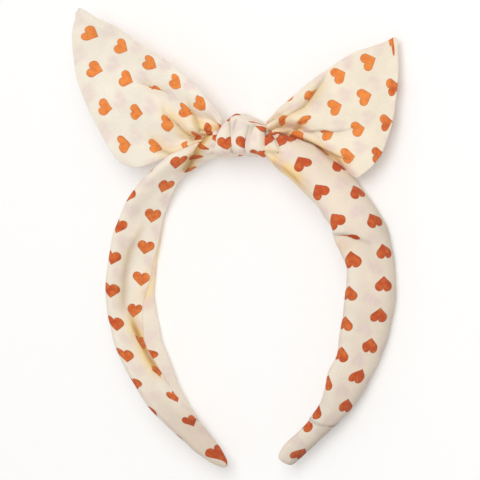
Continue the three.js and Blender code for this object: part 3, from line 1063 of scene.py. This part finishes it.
earCloth = {
    "rows": 150,
    "columns": 110,
    "thickness": 1.7,
    "edgeShare": 0.45,  # of the thickness, at the sewn edge
    "edgeWidth": 4.0,
    "leafShare": 0.66,  # of the flat box that the leaf fills
    "foldFall": 1.5,
    "litThrough": 0.9,  # painted light through the cloth
    "lessLitThrough": 0.6,  # how much less where it is bunched or doubled
    "pinch": (1.4, -0.46, 0.2),  # how the hearts follow the gathers, least and most
    "calm": 12,  # length over which wrinkles begin, out from the knot
    "turnedUnder": {"most": 1.3, "width": 9, "start": 30, "soft": 10},  # where a far edge is doubled
    "bunched": (11, 9),  # how far out the cloth is bunched, and the soft end of that
    "near": 1.2,  # pixels within which the cloth's corners count as a marked heart's place
    "waves": [
        {"length": 31, "angle": 0.7, "size": 0.5, "sway": 5, "start": 0.9},
        {"length": 17, "angle": -0.6, "size": 0.22, "sway": 3, "start": 2.6},
        {"length": 9, "angle": 1.5, "size": 0.08, "sway": 2, "start": 0.2},
    ],
}


def bends(x, y):  # what a lay is made of: its start, its slope along and across, and its bend
    return np.stack([np.ones_like(x), x, y, x * x, x * y, y * y], -1)


def fitHearts(ear, places, x, y):  # the print's lay, along and across, that takes it to the marked hearts
    right, down = inPhotograph(places + (0, 0, earCloth["thickness"] / 2))
    spots = []
    for heart in ear["hearts"]:
        away = np.hypot(right - heart["photoRight"], down - heart["photoDown"])
        near = bump(away, earCloth["near"])
        spots.append(((near * x).sum() / near.sum(), (near * y).sum() / near.sum()))
    terms = bends(*np.array(spots).T)
    clear = np.array([heart["clear"] for heart in ear["hearts"]])
    lay = ear["lay"]
    stiff = np.array([0] + [lay["slope"]] * 2 + [lay["bend"]] * 3)
    fitted = []
    for way in ("along", "across"):
        wanted = np.array([heart[way] for heart in ear["hearts"]]) * cotton["repeat"]
        guess = np.array([0, *lay[way], 0, 0, 0])
        sums = np.concatenate([terms * clear[:, None], np.diag(stiff)])
        fitted.append(np.linalg.lstsq(sums, np.concatenate([wanted * clear, stiff * guess]), rcond=None)[0])
    return fitted


def layPrint(fitted, x, y):  # how the cloth was stretched, turned and fanned out before it was sewn
    along, across = (bends(x, y) @ way for way in fitted)
    slope, mixed, bend = fitted[1][[2, 4, 5]]
    drawn = slope + mixed * x + 2 * bend * y
    gain, least, most = earCloth["pinch"]
    return np.stack([along, pinched(across, np.clip(gain * (1 / drawn - 1), least, most))], -1)


def makeEar(ear):
    outline = ear["outline"]
    length = outline[-1]["along"]
    along = np.linspace(outline[0]["along"], length, earCloth["rows"] + 1)[:, None]
    share = np.linspace(0, 1, earCloth["columns"] + 1)[None, :]
    crownEdge = smooth(outline, "along", "crownEdge", along)
    outerEdge = smooth(outline, "along", "outerEdge", along)
    chord = outerEdge - crownEdge
    across = crownEdge + chord * share
    out = np.maximum(along, 0) / length
    height = ear["lift"] * out + ear["cup"] * (2 * share - 1) ** 2 * np.sin(math.pi * out)
    for fold in ear["folds"]:
        gone = np.maximum(0, 1 - along / fold["reach"]) ** earCloth["foldFall"]
        height = height + fold["height"] * gone * bump(share - fold["at"], fold["spread"])
    if "tuckedEdge" in ear:
        tucked = ear["tuckedEdge"]
        near = ease((tucked["until"] - along) / tucked["soft"]) * ease(along / tucked["start"])
        height = height - tucked["drop"] * near * ease(1 - (outerEdge - across) / tucked["width"])
    alongs = along + 0 * across
    relief, hiddenX, hiddenY, glow, shade = foldCloth(alongs, across, ear["pleats"])
    height = height + relief + ripples(alongs, across, earCloth["waves"]) * ease(along / earCloth["calm"])

    arc = summed(np.hypot(np.diff(across, axis=1), np.diff(height, axis=1)))
    spine = np.array([np.interp(0, across[i], arc[i]) for i in range(len(along))])[:, None]
    heading = ear["heading"]
    sideways = ear["side"] * across
    x = ear["root"][0] + along * math.cos(heading) - sideways * math.sin(heading)
    y = ear["root"][1] + along * math.sin(heading) + sideways * math.cos(heading)
    places = np.stack([x, y, height + 0 * x], -1) + hoopCentre
    counted = ear["lay"]["hidden"]
    fitted = fitHearts(ear, places, alongs + counted * hiddenX, arc - spine + counted * hiddenY)
    chart = layPrint(fitted, alongs + hiddenX, arc - spine + hiddenY)
    piece = clothGrid(ear["name"], places)
    printMap(piece, earCloth["columns"], [(earCloth["columns"], chart)])
    turned = earCloth["turnedUnder"]
    doubled = ease(turned["most"] - (1 - share) * chord / turned["width"]) * ear["doubled"]
    doubled = doubled * ease((along - turned["start"]) / turned["soft"])
    until, soft = earCloth["bunched"]
    bunched = ease((until - along) / soft)
    # painted light through the cloth, less where bunched or doubled, warm light in the pleats, and shade
    # along them
    paint(piece, "litThrough", earCloth["litThrough"] - earCloth["lessLitThrough"] * np.maximum(bunched, doubled))
    paint(piece, "warm", np.maximum(glow, ear["warmLight"]))
    paint(piece, "shade", shade)

    # thinner where the two layers are sewn together
    edge = np.minimum(np.minimum(share, 1 - share) * chord, length - along)
    puff = earCloth["edgeShare"] + (1 - earCloth["edgeShare"]) * ease(edge / earCloth["edgeWidth"])
    group = piece.vertex_groups.new(name="puff")
    for i, weight in enumerate(puff.ravel()):
        group.add([i], float(weight), "REPLACE")
    closeUp(piece)
    wall = piece.modifiers.new("wall", "SOLIDIFY")
    wall.thickness = earCloth["thickness"] * mm
    wall.offset = 0
    wall.vertex_group = "puff"
    applyModifiers(piece)
    bpy.ops.object.shade_smooth()
    finishPiece(piece, ear["node"])
    width, long = ear["flat"]
    area = earCloth["leafShare"] * width * long


for ear in ears:
    makeEar(ear)
print("ears made")


# The knot: reach out from, in from, in front of and behind the hoop's middle line, by run along it
knotSections = table(
    ("run", "rise", "drop", "front", "back"),
    (-16, 6.2, 5.6, 9.6, 9.2),
    (-12.5, 7.8, 6.2, 10.8, 10.2),
    (-8, 10.2, 6.2, 12, 11),
    (-4, 11.8, 6.6, 12.2, 11.6),
    (-1.4, 13, 6.2, 11.4, 11.8),
    (1, 12, 6.4, 12.8, 12),
    (4.5, 10.4, 6.8, 13.6, 12),
    (7.5, 9, 6.6, 13, 12),
    (9.5, 8.3, 6, 11.6, 11.8),
    (13, 9.8, 6.6, 11.6, 10.8),
    (16, 8.6, 6.8, 10.4, 9.8),
)

knot = {
    "rows": 150,
    "columns": 150,
    "leftRim": (-10.5, 5),  # run of each rim, and how far it slants from the inner to the outer side
    "rightRim": (15, -3.2),
    "rimRoll": 2.6,  # the rims turn in over this length
    "rimShare": 0.62,  # to this share of their size
    "folds": [  # by run and by length upwards round the front
        {"path": [(-2.8, 13), (-0.8, 5), (-0.7, -2), (-2.8, -10)], "lip": 0.5, "drop": 1.9, "wide": 2.2,
         "crisp": 0.6, "hidden": (20.5, 0), "fade": (0.1, 0.1)},
        {"path": [(7, 11), (7.8, 4), (7, -4), (6, -10)], "lip": 0.5, "drop": 1.0, "wide": 1.8,
         "crisp": 0.6, "hidden": (9.4, -2), "fade": (0.1, 0.1)},
        {"path": [(8.6, 12), (9, 6), (9.4, 1)], "lip": 0.2, "drop": 0.5, "wide": 1.6,
         "fade": (0.2, 0.5)},
        {"path": [(1.4, 12), (1.2, 6), (1.3, 0)], "lip": 0.2, "drop": 0.35, "wide": 1.2,
         "fade": (0.2, 0.6)},
    ],
    "waves": [
        {"length": 6.5, "angle": 0.15, "size": 0.16, "sway": 1.5, "start": 0.7},
        {"length": 4.1, "angle": -0.3, "size": 0.07, "sway": 1, "start": 2.2},
    ],
    "print": (0.6, 3.7),  # its place at the middle of the front
    # painted light through the knot's cloth
    "litThrough": 0.2,
}


def makeKnot():
    # 0 in front, a quarter turn on top
    angle = np.linspace(-math.pi, math.pi, knot["columns"] + 1)[None, :]
    share = 0.5 - 0.5 * np.cos(math.pi * np.linspace(0, 1, knot["rows"] + 1))[:, None]
    (left, leftSlant), (right, rightSlant) = knot["leftRim"], knot["rightRim"]
    start = left + leftSlant * np.sin(angle)
    end = right + rightSlant * np.sin(angle)
    run = start + (end - start) * share
    up, ahead = squared(np.sin(angle)), squared(np.cos(angle))
    value = {name: smooth(knotSections, "run", name, run) for name in ("rise", "drop", "front", "back")}
    reach = up * np.where(up > 0, value["rise"], value["drop"])
    z = ahead * np.where(ahead > 0, value["front"], value["back"])
    loop = np.stack([reach, z], -1)
    rim = 1 - np.clip(np.minimum(run - start, end - run) / knot["rimRoll"], 0, 1)
    loop = loop * (knot["rimShare"] + (1 - knot["rimShare"]) * np.sqrt(1 - rim ** 2))[..., None]

    arc = summed(np.linalg.norm(np.diff(loop, axis=1), axis=-1))
    front = knot["columns"] // 2
    arc = arc - arc[:, front:front + 1]
    relief, hiddenX, hiddenY, glow, shade = knotFolds(run, arc)
    loop = loop - slopeRound(loop) * (relief * np.sqrt(1 - rim ** 2))[..., None]
    places = roundHoop(run, loop[..., 0], loop[..., 1])
    piece = clothGrid("knotCloth", places)
    startU, startV = knot["print"]
    chart = np.stack([arc + startU + hiddenY, run + startV + hiddenX], -1)
    printMap(piece, knot["columns"], [(knot["columns"], chart)])
    # painted light through the cloth, and warm light and shade in its creases
    paint(piece, "litThrough", knot["litThrough"] + 0 * arc)
    paint(piece, "warm", glow)
    paint(piece, "shade", shade)
    closeUp(piece)
    finishPiece(piece, "knot")


def knotFolds(run, arc):
    far = 40  # folds are told apart by side, so the whole knot is moved to one
    moved = [dict(fold, path=[(x + far, y) for x, y in fold["path"]]) for fold in knot["folds"]]
    relief, hiddenX, hiddenY, glow, shade = foldCloth(run + far, arc, moved)
    return relief + ripples(run, arc, knot["waves"]), hiddenX, hiddenY, glow, shade


makeKnot()
print("knot made")


# Plain pale floor, soft light from all round and a broad one from the upper left
studio = {
    "floorSize": 6,
    "floorLevel": 0.925,  # how pale
    "floorGrain": (60.0, 0.01),
    "floorRoughness": 0.9,
    "floorGlow": 0.08,
    "skyColour": (1, 0.99, 0.975),
    "skyStrength": 0.64,
    "lightSize": 1.6,
    "lightPower": 15,
    "lightPlace": (0.3, 0.6, 1.7),
}


def makeStudio():
    bpy.ops.object.select_all(action="DESELECT")
    bpy.ops.mesh.primitive_plane_add(size=studio["floorSize"], location=(0, 0, 0))
    floor = bpy.context.object
    floor.name = "floor"
    material, tree, shader = startMaterial("paleFloor")
    start = Wire(tree, None)
    place = start.add("ShaderNodeTexCoord", None, None, "Object")
    scale, size = studio["floorGrain"]
    grain = start.add("ShaderNodeTexNoise", None, {"Vector": place, "Scale": scale}, "Fac")
    colour = greyOf(studio["floorLevel"] + grain * size)
    tree.links.new(colour.socket, shader.inputs["Base Color"])
    shader.inputs["Roughness"].default_value = studio["floorRoughness"]
    shader.inputs["Emission Color"].default_value = (1, 1, 1, 1)
    shader.inputs["Emission Strength"].default_value = studio["floorGlow"]
    floor.data.materials.append(material)

    world = bpy.data.worlds.new("softStudio")
    bpy.context.scene.world = world
    world.use_nodes = True
    sky = world.node_tree.nodes["Background"]
    sky.inputs["Color"].default_value = opaque(studio["skyColour"])
    sky.inputs["Strength"].default_value = studio["skyStrength"]

    place = Vector(studio["lightPlace"])
    bpy.ops.object.light_add(type="AREA", location=place)
    lamp = bpy.context.object
    lamp.data.shape = "DISK"
    lamp.data.size = studio["lightSize"]
    lamp.data.energy = studio["lightPower"]
    lamp.rotation_euler = (-place).to_track_quat("-Z", "Y").to_euler()
    bpy.context.scene.view_settings.view_transform = "Standard"


makeStudio()
print("studio lit")
